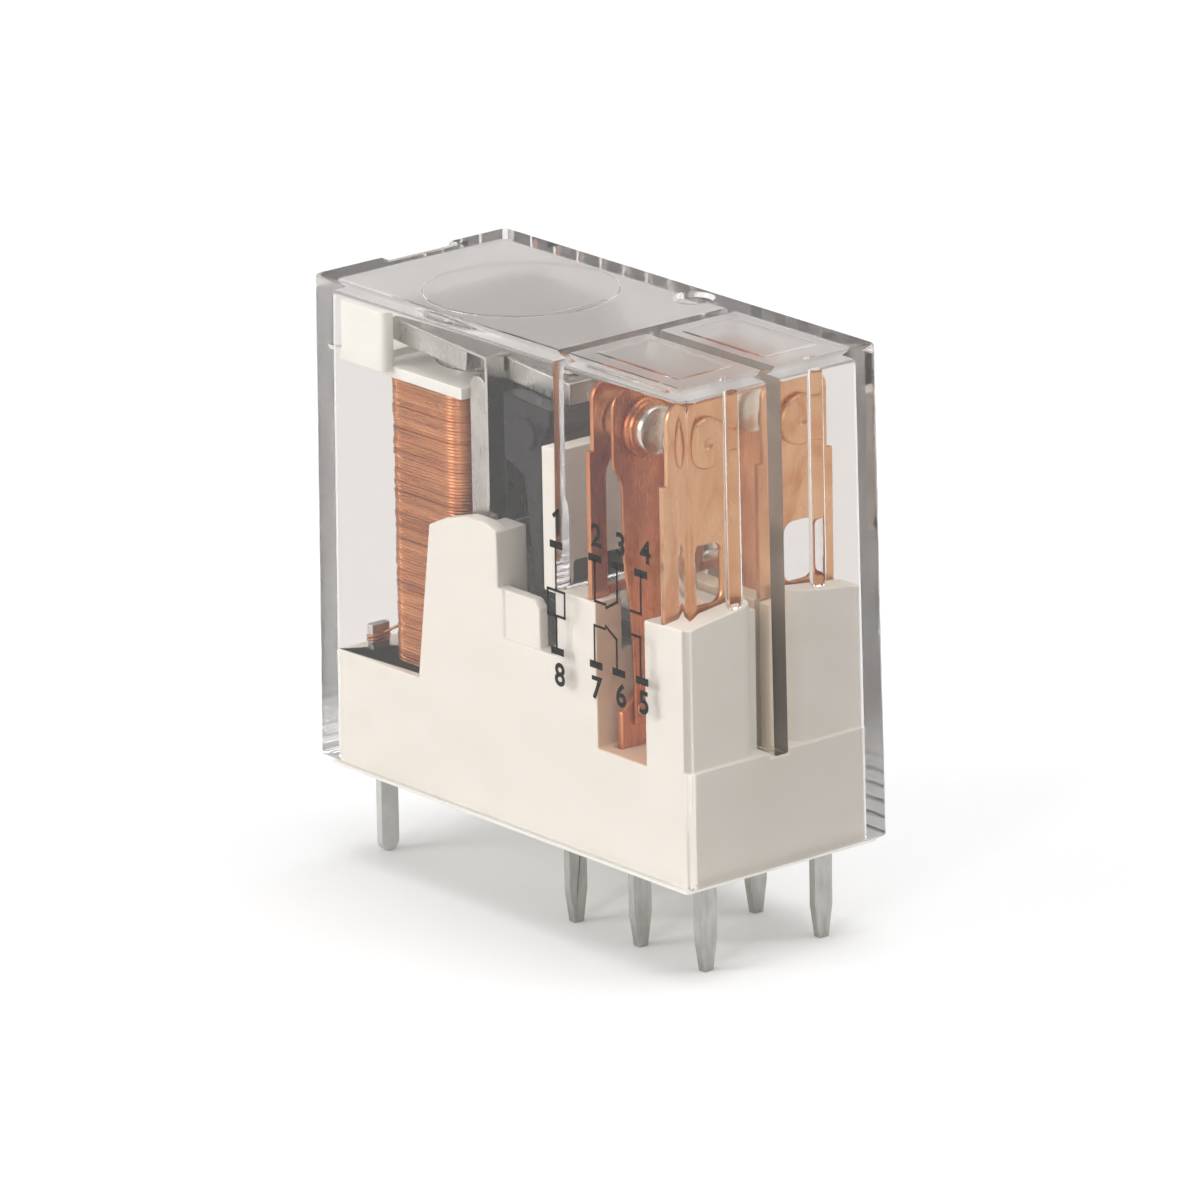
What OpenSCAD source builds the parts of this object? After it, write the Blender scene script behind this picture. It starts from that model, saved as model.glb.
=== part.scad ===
// Plug-in control relay with two change-over contacts, in a clear dust cover.
// X runs along the length, from the coil (-X) to the contacts (+X). Y runs across the width.
// Z points up. The origin is the centre of the seating face, and the pins reach below it.

/* [Body] */
// Length over the cover
body_l = 29.2; // [28.8:0.1:29.4]
// Width over the cover
body_w = 12.7; // [12.6:0.1:12.9]
// Height of the cover's top above the seating face
body_h = 25.8; // [25.6:0.1:26]
// Draft of each end of the cover, from bottom to top
draft_l = 0.3; // [0.1:0.05:0.3]
// Draft of each long side of the cover, from bottom to top
draft_w = 0.14; // [0.05:0.01:0.14]

/* [Cover] */
// Thickness of the cover's walls
wall = 0.75; // [0.7:0.05:0.75]
// Thickness of the cover's top
top_t = 0.8; // [0.7:0.05:0.8]
// Height of the cover's lower edge above the seating face
cover_z0 = 0.25; // [0.25:0.05:0.6]
// Thickness of the barrier between the two poles
barrier_t = 0.9; // [0.8:0.1:0.9]

/* [Base] */
// Height of the base's rim
rim_z = 6.1; // [6:0.1:6.2]
// Height of the contact tower's top
tower_z = 13.3; // [13.2:0.1:13.4]
// Height of the insulating partition's top
partition_z = 20.2; // [19:0.1:21]

/* [Pins] */
// Distance between contact pins along the length
pin_pitch = 5; // [5:0.01:5.01]
// Distance between the two rows of pins
row_pitch = 7.5; // [7.5:0.01:7.51]
// Width of a pin, across the relay
pin_w = 1.15; // [1:0.05:1.2]
// Thickness of a pin, along the relay
pin_t = 0.45; // [0.4:0.05:0.5]
// Length of a pin below the seating face
pin_len = 4.8; // [4:0.1:5.5]

/* [Coil] */
// Place of the coil's axis along the length
coil_x = -7.85; // [-7.9:0.05:-7.8]
// Length of the winding's section
coil_l = 6.1; // [5.8:0.1:6.1]
// Width of the winding's section
coil_w = 8.8; // [8.4:0.1:8.8]
// Lower end of the winding
coil_z0 = 4.9; // [4.9:0.1:5.2]
// Upper end of the winding
coil_z1 = 21; // [20.8:0.1:21.1]
// Radius of the iron core
core_r = 1.6; // [1.4:0.1:1.8]

/* [Magnet] */
// Thickness of the yoke
yoke_t = 1.3; // [1.2:0.1:1.3]
// Width of the yoke
yoke_w = 8.4; // [8:0.1:8.4]
// Thickness of the armature
armature_t = 1.2; // [1:0.1:1.2]
// Angle of the armature between open and closed
stroke = 4.5; // [4:0.1:4.5]

/* [Contacts] */
// Height of the contacts above the seating face
contact_z = 22.1; // [22:0.05:22.2]
// Distance of each contact from the middle plane
contact_y = 3.0; // [2.95:0.05:3.05]
// Thickness of the fixed contact plates
plate_t = 0.3; // [0.25:0.05:0.3]
// Thickness of the moving contact springs
blade_t = 0.2; // [0.15:0.05:0.2]

/* [Hidden] */
$fn = 48;

half_l = body_l / 2;
half_w = body_w / 2;
slip = 0.05;               // clearance between pieces that are assembled by hand
snug = 0.02;               // clearance between pieces that are pressed together
over = 1;                  // how far a cutting tool runs past a face

// Pins along the length: coil, normally closed, common, normally open.
pin_x_no = 12.5;
pin_x_com = pin_x_no - pin_pitch;
pin_x_nc = pin_x_com - pin_pitch;
pin_x_coil = pin_x_nc - 3 * pin_pitch;
pin_y = row_pitch / 2;
pin_tip_w = 0.6;           // width of a contact pin's pointed tip
pin_taper = 1.7;           // height of that point
pin_hole = 0.15;           // clearance round each pin in the base's underside

// Base.
base_l = half_l - wall - 0.15;
base_w = half_w - wall - 0.1;
sole_l = half_l - 0.6;     // thin sole under the cover's lower edge
sole_w = half_w - 0.2;
sole_t = 0.2;
tower_x0 = 3.9;
tower_x1 = base_l - 0.2;
tower_in = 1.25;           // distance of a tower's inner side from the middle plane
tower_r = 0.9;             // rounding of a tower's inner end corner
lip_x0 = 12.1;             // raised end of each tower, whose top slopes down to the outside
lip_out_z = 13.4;
lip_in_z = 13.95;
spine_x1 = 12.7;           // wall between the towers, on both sides of the cover's barrier
spine_y = 0.6;
chamber_x0 = 6.9;          // chamber that each moving spring stands in
chamber_x1 = 10.6;
chamber_y = 1.75;
chamber_z = 5.8;
side_t = 0.8;              // thickness of the walls beside the coil
post_x0 = -2.4;            // thick end of each of those walls
post_x1 = -0.75;
post_y = 3.5;              // distance of its inner side from the middle plane
post_z = 15.2;
apron_x1 = 2.35;           // low stretch of wall next to the post
apron_z = 12.3;
apron_in = 0.15;           // depth of the shallow panel on it
partition_x = 2.2;
partition_t = 1;
groove_z = 5.8;            // floor of the groove that takes the cover's barrier
slot_x1 = 3.8;             // opening that the actuator's fingers pass through
slot_z0 = 9.8;
slot_z1 = 12.8;
com_y0 = 4.6;              // outer and inner edge of the common terminal, from the middle plane
com_y1 = 2;
com_z0 = 5.2;              // lower end of its upright part
com_z1 = 8.4;

// Cover.
cross_x = 3.95;            // wall across the cover, between magnet and contacts
cross_t = 0.8;
rib_y = 2.7;               // half-round ribs inside the contact end
rib_r = 0.45;
ceiling = body_h - top_t;

// Magnet. The armature rocks on the yoke's round upper end.
yoke_x1 = -2.9;
yoke_z0 = 2.9;
pivot_r = yoke_t / 2;
pivot_x = yoke_x1 - pivot_r;
pivot_z = 21.75;
pivot_gap = 0.05;
arm_z = 0.45;              // underside of the closed armature, above the pivot
arm_left = -7.1;           // ends of the armature, from the pivot
arm_right = 5.4;
arm_w = 8;
arm_neck_w = 6;            // width where it passes between the hinge spring's legs
arm_neck_x = -1.2;
pole_z = pivot_z + arm_z - slip;
leaf_t = 0.2;
leaf_in = 3.15;            // inner and outer edge of each leg of the hinge spring
leaf_out = 4.3;
leaf_tip = -6.2;
leaf_z0 = 14.8;

// Coil former.
flange_t = 0.6;
flange_l = 6.9;
flange_w = 9.1;
former_t = 0.5;            // wall round the core
shelf_z = coil_z1 + flange_t - 0.2;
lug_z = 24.5;

// Contacts, along the length.
nc_x = 6;                  // left face of the normally closed plate
no_x = 11.55;              // left face of the normally open plate
blade_x = 7.85;            // left face of the moving spring
root_z = 6.9;              // lower end of the moving spring
rivet_y = 0.5;             // places of its two rivets, from the contact's middle
rivet_z = 7.7;
head_r = 1.3;              // radius of a contact's head
flange_r = 1.55;           // radius of the moving contact's copper collar
dome_r = 5;                // radius of the fixed contacts' domed faces
closed_gap = 0.03;         // gap left between touching contacts
open_gap = 1.32;           // contact gap on the normally open side
nc_face = blade_x - 0.75;
mc_face = blade_x + blade_t + 1.1;
no_face = mc_face + open_gap;
plate_in = 0.75;           // inner and outer edge of the contact plates, from the middle plane
plate_out = 5.2;
plate_top = 24.3;
finger_x = 7.35;           // tip of the actuator's fingers

// ---------- shapes that repeat ----------

// An outline in X and Z, extruded along Y.
module prism_y(outline, y0, y1) {
  translate([0, y1, 0]) rotate([90, 0, 0]) linear_extrude(y1 - y0) polygon(outline);
}

// An outline in Y and Z, extruded along X.
module prism_x(outline, x0, x1) {
  translate([x0, 0, 0]) rotate([90, 0, 90]) linear_extrude(x1 - x0) polygon(outline);
}

// A two-dimensional child in Y and Z, extruded along X.
module sheet_x(x0, t) {
  translate([x0, 0, 0]) rotate([90, 0, 90]) linear_extrude(t) children();
}

// A box given by its lower and upper corners.
module block(low, high) {
  translate(low) cube(high - low);
}

// A rectangle with round corners, from its lower and upper corners.
module round_rect(low, high, r) {
  translate([low[0] + r, low[1]]) square([high[0] - low[0] - 2 * r, high[1] - low[1]]);
  translate([low[0], low[1] + r]) square([high[0] - low[0], high[1] - low[1] - 2 * r]);
  for (x = [low[0] + r, high[0] - r], y = [low[1] + r, high[1] - r])
    translate([x, y]) circle(r);
}

// A cylinder along X.
module rod_x(x0, x1, r) {
  translate([x0, 0, 0]) rotate([0, 90, 0]) cylinder(h = x1 - x0, r = r);
}

// A block whose four sides all lean in as it rises, like a moulding with draft.
module drafted(l0, w0, l1, w1, z0, z1) {
  intersection() {
    prism_y([[-l0, z0], [l0, z0], [l1, z1], [-l1, z1]], -w0 - over, w0 + over);
    prism_x([[-w0, z0], [w0, z0], [w1, z1], [-w1, z1]], -l0 - over, l0 + over);
  }
}

// Everything for one pole is drawn on the -Y side: side 1 keeps it there, side -1 mirrors it.
module pole(side) {
  if (side > 0) children();
  else mirror([0, 1, 0]) children();
}

// A contact pin: a flat blade with a pointed tip.
module pin_blade(x, z1) {
  sheet_x(x - pin_t / 2, pin_t) polygon([
    [-pin_y - pin_w / 2, z1], [-pin_y - pin_w / 2, pin_taper - pin_len],
    [-pin_y - pin_tip_w / 2, -pin_len], [-pin_y + pin_tip_w / 2, -pin_len],
    [-pin_y + pin_w / 2, pin_taper - pin_len], [-pin_y + pin_w / 2, z1]
  ]);
}

// ---------- base ----------

module base_skirt() {
  block([-base_l, -base_w, 0], [base_l, base_w, rim_z]);
  block([-sole_l, -sole_w, 0], [sole_l, sole_w, sole_t]);
}

// Plan of one tower, from x0 to its rounded inner end corner.
module tower_plan(x0) {
  translate([x0, -base_w]) square([tower_x1 - tower_r - x0, base_w - tower_in]);
  translate([x0, -base_w]) square([tower_x1 - x0, base_w - tower_in - tower_r]);
  translate([tower_x1 - tower_r, -tower_in - tower_r]) circle(tower_r);
}

module base_towers() {
  for (side = [1, -1]) pole(side) {
    translate([0, 0, rim_z - over]) linear_extrude(tower_z - rim_z + over) tower_plan(tower_x0);
    intersection() {
      translate([0, 0, tower_z - over]) linear_extrude(lip_in_z - tower_z + over)
        tower_plan(lip_x0);
      prism_x([
        [-base_w, tower_z - over], [-tower_in, tower_z - over], [-tower_in, lip_in_z],
        [-base_w, lip_out_z]
      ], lip_x0, base_l);
    }
    block([tower_x0, -tower_in - over / 2, rim_z - over], [spine_x1, -spine_y, tower_z]);
    // wall beside the coil, with its stepped and sloping upper edge
    prism_y([
      [-7.3, rim_z - over], [-6.05, 14.4], [-4.8, 15], [-3, 15.5], [-1.6, 15.5], [post_x1, post_z],
      [post_x1, apron_z], [apron_x1 - 0.4, apron_z], [apron_x1, apron_z - 0.4], [apron_x1, slot_z0],
      [slot_x1, slot_z0], [slot_x1, tower_z - 0.2], [tower_x0 + over, tower_z - 0.2],
      [tower_x0 + over, rim_z - over]
    ], -base_w, side_t - base_w);
    block([post_x0, -base_w, rim_z - over], [post_x1, -post_y, post_z]);
  }
  block([partition_x, side_t - base_w - snug, rim_z - over],
        [partition_x + partition_t, base_w - side_t + snug, slot_z1]);
  block([partition_x, -4.9, slot_z1 - snug], [partition_x + partition_t, 4.9, partition_z]);
}

module base_cuts() {
  // well for the yoke and the coil former
  block([-11.4, -4.6, 2.8], [yoke_x1 + 0.15, 4.6, rim_z + over]);
  // groove for the cover's barrier
  block([tower_x0, -spine_y, groove_z], [base_l + over, spine_y, rim_z + over]);
  for (side = [1, -1]) pole(side) {
    // shallow panel in the low stretch of the side wall
    block([-0.3, -base_w - over, slot_z0], [apron_x1 + over, apron_in - base_w, apron_z + over]);
    // chamber for the moving spring, open to the side and above
    block([chamber_x0, -base_w - over, chamber_z], [chamber_x1, -chamber_y, tower_z + over]);
    // way for the actuator's finger
    block([partition_x - over, side_t - base_w - 2 * snug, slot_z0],
          [partition_x + partition_t + over, -1.1, slot_z1]);
    block([slot_x1 - over, -3.8, 10.6], [chamber_x0 + over, -chamber_y, tower_z + over]);
    // slots for the plates of the fixed contacts
    block([nc_x - slip, -plate_out - slip, 2.5], [nc_x + plate_t + slip, -4.1, tower_z + over]);
    block([pin_x_nc - pin_t / 2 - slip, -4.95, 2.5], [nc_x + plate_t + slip, -3.1, 3.1]);
    block([no_x - slip, -plate_out - slip, 3.9],
          [no_x + plate_t + slip, -tower_in + over, tower_z + over]);
    block([no_x - slip, -4.5, 3.9], [pin_x_no + pin_t / 2 + slip, -3, 4.5]);
    // slot for the common terminal
    block([pin_x_com - pin_t / 2 - slip, -com_y0 - 0.1, com_z0 - 0.1],
          [blade_x - slip, -chamber_y, chamber_z + over]);
    // holes that the pins pass through
    for (x = [pin_x_nc, pin_x_com, pin_x_no, pin_x_coil])
      block([x - pin_t / 2 - pin_hole, -pin_y - pin_w / 2 - pin_hole, -over],
            [x + pin_t / 2 + pin_hole, -pin_y + pin_w / 2 + pin_hole,
             x == pin_x_no ? 4.4 : x == pin_x_nc ? 3 : x == pin_x_com ? com_z0 : rim_z + over]);
  }
}

module base() {
  color("ivory") difference() {
    union() {
      base_skirt();
      base_towers();
    }
    base_cuts();
  }
}

// ---------- cover ----------

module cover() {
  in_l0 = half_l - wall;
  in_w0 = half_w - wall;
  in_l1 = half_l - draft_l - wall;
  in_w1 = half_w - draft_w - wall;
  color([0.85, 0.85, 0.9, 0.3]) union() {
    difference() {
      drafted(half_l, half_w, half_l - draft_l, half_w - draft_w, cover_z0, body_h);
      difference() {
        drafted(in_l0, in_w0, in_l1, in_w1, cover_z0 - over, ceiling);
        cover_walls();
      }
      // thumb notch at the coil end of the top
      block([-half_l - over, -2, body_h - 0.4], [1.1 - half_l, 2.5, body_h + over]);
      // round vent recess near the far edge
      translate([2.2, 4.75, body_h - 0.3]) cylinder(h = over, r = 1.05);
      // thinner panels of the ceiling
      translate([-5.5, 0, ceiling - over]) cylinder(h = over + 0.2, r = 5);
      for (side = [1, -1]) pole(side)
        translate([0, 0, ceiling - over]) linear_extrude(over + 0.2)
          round_rect([5.6, -4.5], [12, -1], 0.8);
      // gate mark
      block([-0.6, -1.9, body_h - 0.12], [-0.45, 1.4, body_h + over]);
    }
  }
}

// Walls inside the cover, before they are cut back to its draft.
module cover_walls() {
  block([cross_x, -half_w, tower_z + 0.15], [cross_x + cross_t, half_w, body_h]);
  block([cross_x, -barrier_t / 2, tower_z + 0.15], [half_l, barrier_t / 2, body_h]);
  block([cross_x + 1.2, -barrier_t / 2, groove_z + 0.1], [half_l, barrier_t / 2, body_h]);
  for (side = [1, -1]) pole(side) {
    translate([half_l - draft_l - wall + 0.05, -rib_y, tower_z + 0.6])
      cylinder(h = body_h, r = rib_r);
    translate([cross_x + 0.6, 0.1 + wall - half_w, tower_z + 0.3]) cylinder(h = 4.6, r = rib_r);
  }
}

// ---------- coil ----------

module bobbin() {
  half_f = flange_l / 2;
  color("white") difference() {
    union() {
      for (z = [coil_z0 - flange_t, coil_z1])
        block([coil_x - half_f, -flange_w / 2, z], [coil_x + half_f, flange_w / 2, z + flange_t]);
      block([coil_x - core_r - former_t, -core_r - former_t, coil_z0 - flange_t],
            [coil_x + core_r + former_t, core_r + former_t, coil_z1 + flange_t]);
      // shelf and two upright lugs that hold the former under the cover
      block([-13.3, -5.2, shelf_z], [coil_x - half_f + 0.3, 5.2, shelf_z + flange_t]);
      for (side = [1, -1]) pole(side)
        translate([0, 0, shelf_z]) linear_extrude(lug_z - shelf_z)
          round_rect([-13.3, -5.2], [-9.75, -4.35], 0.35);
    }
    translate([coil_x, 0, 0]) cylinder(h = body_h, r = core_r + snug);
    // room for the pole face
    translate([coil_x, 0, coil_z1 + flange_t - 0.2]) cylinder(h = over, r = 2.6 + slip);
  }
}

module coil_winding() {
  color("peru") difference() {
    translate([0, 0, coil_z0 + snug]) linear_extrude(coil_z1 - coil_z0 - 2 * snug)
      round_rect([coil_x - coil_l / 2, -coil_w / 2], [coil_x + coil_l / 2, coil_w / 2], 1.1);
    block([coil_x - core_r - former_t - snug, -core_r - former_t - snug, 0],
          [coil_x + core_r + former_t + snug, core_r + former_t + snug, body_h]);
  }
}

module iron_core() {
  color("silver") {
    translate([coil_x, 0, yoke_z0 + 0.05]) cylinder(h = pole_z - yoke_z0 - 0.05, r = core_r);
    translate([coil_x, 0, coil_z1 + flange_t - 0.15])
      cylinder(h = pole_z - coil_z1 - flange_t + 0.15, r = 2.6);
  }
}

// Flat coil pin with a round end, standing up beside the coil former.
module coil_terminal(side) {
  color("silver") pole(side) sheet_x(pin_x_coil - pin_t / 2, pin_t) {
    translate([-pin_y - pin_w / 2, pin_w / 2 - pin_len]) square([pin_w, 7.4 + pin_len - pin_w / 2]);
    translate([-pin_y, pin_w / 2 - pin_len]) circle(pin_w / 2);
  }
}

// Enamelled wire from the winding's lower end to the coil pin.
module coil_lead(side) {
  start = [pin_x_coil + pin_t / 2 + 0.13, -pin_y, 6.9];
  run = [coil_x - coil_l / 2 - 0.15 - start[0], 0.6, 0.5];
  reach = norm(run);
  color("peru") pole(side) translate(start)
    rotate([0, acos(run[2] / reach), atan2(run[1], run[0])]) cylinder(h = reach, r = 0.12, $fn = 24);
}

// ---------- magnet ----------

module yoke() {
  color("silver") difference() {
    union() {
      block([-10.9, -yoke_w / 2, yoke_z0], [yoke_x1, yoke_w / 2, coil_z0 - flange_t - snug]);
      block([yoke_x1 - yoke_t, -yoke_w / 2, yoke_z0], [yoke_x1, yoke_w / 2, pivot_z]);
      translate([pivot_x, yoke_w / 2, pivot_z]) rotate([90, 0, 0]) cylinder(h = yoke_w, r = pivot_r);
    }
    translate([coil_x, 0, 0]) cylinder(h = body_h, r = core_r + snug);
  }
}

// A point beside the pivot, turned to the armature's open place.
function tilted(x, z) = [
  pivot_x + x * cos(stroke) + z * sin(stroke), pivot_z - x * sin(stroke) + z * cos(stroke)
];

// Where an upright line at x meets the tilted line that runs z above the pivot.
function on_tilt(x, z) =
  [x, pivot_z + z * cos(stroke) - (x - pivot_x - z * sin(stroke)) * tan(stroke)];

// Leaf that holds the armature on the yoke and lifts it off the pole: two legs down the
// yoke's back, and a strip that lies along the armature.
module hinge_spring() {
  low = arm_z + armature_t + snug;
  high = low + leaf_t;
  back = yoke_x1 + snug;
  color("gainsboro") difference() {
    prism_y([
      [back, leaf_z0 - 1.6], [back + leaf_t, leaf_z0 - 1.6], on_tilt(back + leaf_t, high),
      tilted(leaf_tip, high), tilted(leaf_tip, low), on_tilt(back, low)
    ], -leaf_out, leaf_out);
    // gap between the legs, which the armature's neck passes through
    block([back - over, -leaf_in, leaf_z0], [back + over, leaf_in, pivot_z]);
    translate([pivot_x, 0, pivot_z]) rotate([0, stroke, 0]) {
      block([-over, -leaf_in, -over], [2 * over, leaf_in, low - snug / 2]);
      block([-4.5, -2, 0], [-1.5, 2, 3]);
    }
  }
}

// The armature in its open place: tilted by the whole stroke about the yoke's round end.
module armature() {
  color("silver") translate([pivot_x, 0, pivot_z]) rotate([0, stroke, 0]) difference() {
    translate([0, 0, arm_z]) linear_extrude(armature_t) {
      translate([arm_left, -arm_w / 2]) square([arm_neck_x - arm_left, arm_w]);
      translate([arm_left, -arm_neck_w / 2]) square([arm_right - arm_left, arm_neck_w]);
    }
    translate([0, arm_w, 0]) rotate([90, 0, 0]) cylinder(h = 2 * arm_w, r = pivot_r + pivot_gap);
    for (y = [-1.6, 1.6]) translate([3.9, y, 0]) cylinder(h = 3, r = 0.5 + snug);
  }
}

// Black moulding that hangs from the armature: a wide plate with one finger for each pole.
module actuator() {
  color([0.1, 0.1, 0.11]) difference() {
    union() {
      prism_y([
        [-1.6, 18.6], [-1.6, 22.4], [2, 22.4], [2, 21], [1.35, 20.2], [1.3, 15], [1.2, 12.9],
        [1.5, 12.2], [1.5, 11.2], [0.75, 11.2], [0.6, 13], [0.25, 15.5], [0, 18]
      ], -4.2, 4.2);
      for (side = [1, -1]) pole(side) {
        prism_y([[1.4, 11.1], [3.2, 11.3], [3.3, 11.9], [1.4, 12.3]], -4.3, -2.2);
        prism_y([[1.4, 11], [finger_x, 11], [finger_x, 11.9], [1.4, 12.1]], -3.5, -2.2);
        translate([0.3, -4.2, 20.3]) rotate([90, 0, 0]) cylinder(h = 0.3, r = 0.85);
      }
    }
    // fork round the partition's web
    block([0, -1.3, 11], [3, 1.3, 13.3]);
    // seat under the armature, and holes for the rivets
    translate([pivot_x, 0, pivot_z]) rotate([0, stroke, 0]) {
      block([-2, -5, arm_z - snug], [8, 5, 5]);
      for (y = [-1.6, 1.6]) translate([3.9, y, -5]) cylinder(h = 8, r = 0.5 + snug);
    }
  }
}

module actuator_rivets() {
  color("silver") translate([pivot_x, 0, pivot_z]) rotate([0, stroke, 0])
    for (y = [-1.6, 1.6]) translate([3.9, y, 0]) {
      translate([0, 0, -1.2]) cylinder(h = arm_z + armature_t + 1.2, r = 0.5);
      translate([0, 0, arm_z + armature_t + snug]) cylinder(h = 0.3, r = 0.85);
      translate([0, 0, arm_z + armature_t - snug]) cylinder(h = 0.1, r = 0.5);
    }
}

// ---------- contacts ----------

module nc_terminal(side) {
  color("chocolate") pole(side) {
    sheet_x(nc_x, plate_t) difference() {
      union() {
        translate([-plate_out, tower_z + snug]) square([plate_out - plate_in, 7.5]);
        round_rect([-plate_out + 0.3, tower_z + 1], [-plate_in - 0.3, plate_top], 0.9);
        translate([-plate_out, 2.6]) square([1, tower_z + over - 2.6]);
      }
      translate([-contact_y - 1.15, tower_z + 0.5]) square([2.3, 5.6]);
      translate([-contact_y, tower_z + 6.1]) circle(1.15);
      translate([-contact_y, contact_z]) circle(0.6 + snug);
    }
    block([pin_x_nc - pin_t / 2, -4.85, 2.6], [nc_x + plate_t, -3.2, 3]);
    pin_blade(pin_x_nc, 2.9);
  }
}

module no_terminal(side) {
  color("chocolate") pole(side) {
    sheet_x(no_x, plate_t) difference() {
      union() {
        translate([-plate_out, tower_z + snug]) square([plate_out - plate_in, 6.9]);
        round_rect([-plate_out + 0.35, tower_z + 1], [-plate_in - 0.35, plate_top], 0.9);
        translate([-plate_out, 4]) square([plate_out - tower_in, tower_z + over - 4]);
      }
      round_rect([-contact_y - 1, tower_z + 0.5], [-contact_y + 1, 16.9], 0.6);
      translate([-contact_y, contact_z]) circle(0.6 + snug);
    }
    block([no_x, -pin_y - pin_w / 2, 4], [pin_x_no + pin_t / 2, -pin_y + pin_w / 2, 4.4]);
    pin_blade(pin_x_no, 4.3);
  }
}

module com_terminal(side) {
  color("chocolate") pole(side) {
    sheet_x(pin_x_com - pin_t / 2, 0.5) polygon([
      [-com_y0, com_z0], [-com_y0, com_z1 - 0.8], [-com_y0 + 0.9, com_z1], [-com_y1 - 0.4, com_z1],
      [-com_y1, com_z1 - 0.4], [-com_y1, com_z0]
    ]);
    pin_blade(pin_x_com, com_z0 + 0.1);
  }
}

// A contact rivet: an inner head with a domed face towards -X, and a flat tail.
module fixed_rivet(face, plate, tail) {
  translate([0, -contact_y, contact_z]) {
    intersection() {
      rod_x(face, plate - snug, head_r);
      translate([face + dome_r, 0, 0]) sphere(dome_r, $fn = 96);
    }
    rod_x(plate - 0.1, plate + plate_t + 0.1, 0.6);
    rod_x(plate + plate_t + snug, plate + plate_t + tail, head_r);
  }
}

module nc_contact(side) {
  color("silver") pole(side) translate([0, -contact_y, contact_z]) {
    rod_x(nc_x + plate_t + snug, nc_face - closed_gap, head_r);
    rod_x(nc_x - 0.1, nc_x + plate_t + 0.1, 0.6);
    rod_x(nc_x - 0.35, nc_x - snug, head_r - 0.15);
  }
}

module no_contact(side) {
  color("silver") pole(side) fixed_rivet(no_face, no_x, 0.35);
}

// Contact spring: a wide head, a neck that narrows downwards, and a straight foot.
module moving_spring(side) {
  neck_top = 19.2;
  outline = [[0.95, root_z], [0.95, 9], [1.1, 12.5], [1.5, 15.5], [1.55, neck_top], [2, 20.6]];
  color("chocolate") pole(side) sheet_x(blade_x, blade_t) difference() {
    union() {
      round_rect([-contact_y - 2.1, 19.7], [-contact_y + 2.1, 24.2], 0.9);
      polygon([
        for (p = outline) [p[0] - contact_y, p[1]],
        for (i = [len(outline) - 1:-1:0]) [-outline[i][0] - contact_y, outline[i][1]]
      ]);
    }
    translate([-contact_y, contact_z]) circle(0.6 + snug);
    for (y = [-rivet_y, rivet_y]) translate([-contact_y + y, rivet_z]) circle(0.2 + snug);
  }
}

module moving_contact(side) {
  x1 = blade_x + blade_t;
  color("silver") pole(side) translate([0, -contact_y, contact_z]) {
    rod_x(nc_face, blade_x - snug, head_r);
    rod_x(blade_x - 0.1, x1 + 0.1, 0.6);
    rod_x(x1 + snug, x1 + 0.55, flange_r);
    rod_x(x1 + 0.5, mc_face, head_r - 0.05);
  }
}

// The two small rivets that fix the foot of a moving spring.
module spring_rivets(side) {
  x1 = blade_x + blade_t;
  color("silver") pole(side) for (y = [-rivet_y, rivet_y])
    translate([0, -contact_y + y, rivet_z]) {
      rod_x(blade_x, x1 + 0.1, 0.2);
      rod_x(x1 + snug, x1 + 0.25, 0.42);
    }
}

base();
cover();
bobbin();
coil_winding();
iron_core();
yoke();
hinge_spring();
armature();
actuator();
actuator_rivets();
coil_terminal(1);  // coil_terminal_1
coil_terminal(-1);  // coil_terminal_8
coil_lead(1);  // coil_lead_1
coil_lead(-1);  // coil_lead_8
nc_terminal(1);  // nc_terminal_2
nc_terminal(-1);  // nc_terminal_7
nc_contact(1);  // nc_contact_2
nc_contact(-1);  // nc_contact_7
com_terminal(1);  // com_terminal_3
com_terminal(-1);  // com_terminal_6
no_terminal(1);  // no_terminal_4
no_terminal(-1);  // no_terminal_5
no_contact(1);  // no_contact_4
no_contact(-1);  // no_contact_5
moving_spring(1);  // moving_spring_3
moving_spring(-1);  // moving_spring_6
moving_contact(1);  // moving_contact_3
moving_contact(-1);  // moving_contact_6
spring_rivets(1);  // spring_rivets_3
spring_rivets(-1);  // spring_rivets_6
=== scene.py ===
"""Looks of the plug-in control relay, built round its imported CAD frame."""

import math
import random

import bmesh
import bpy
from mathutils import Matrix, Vector, noise


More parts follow.
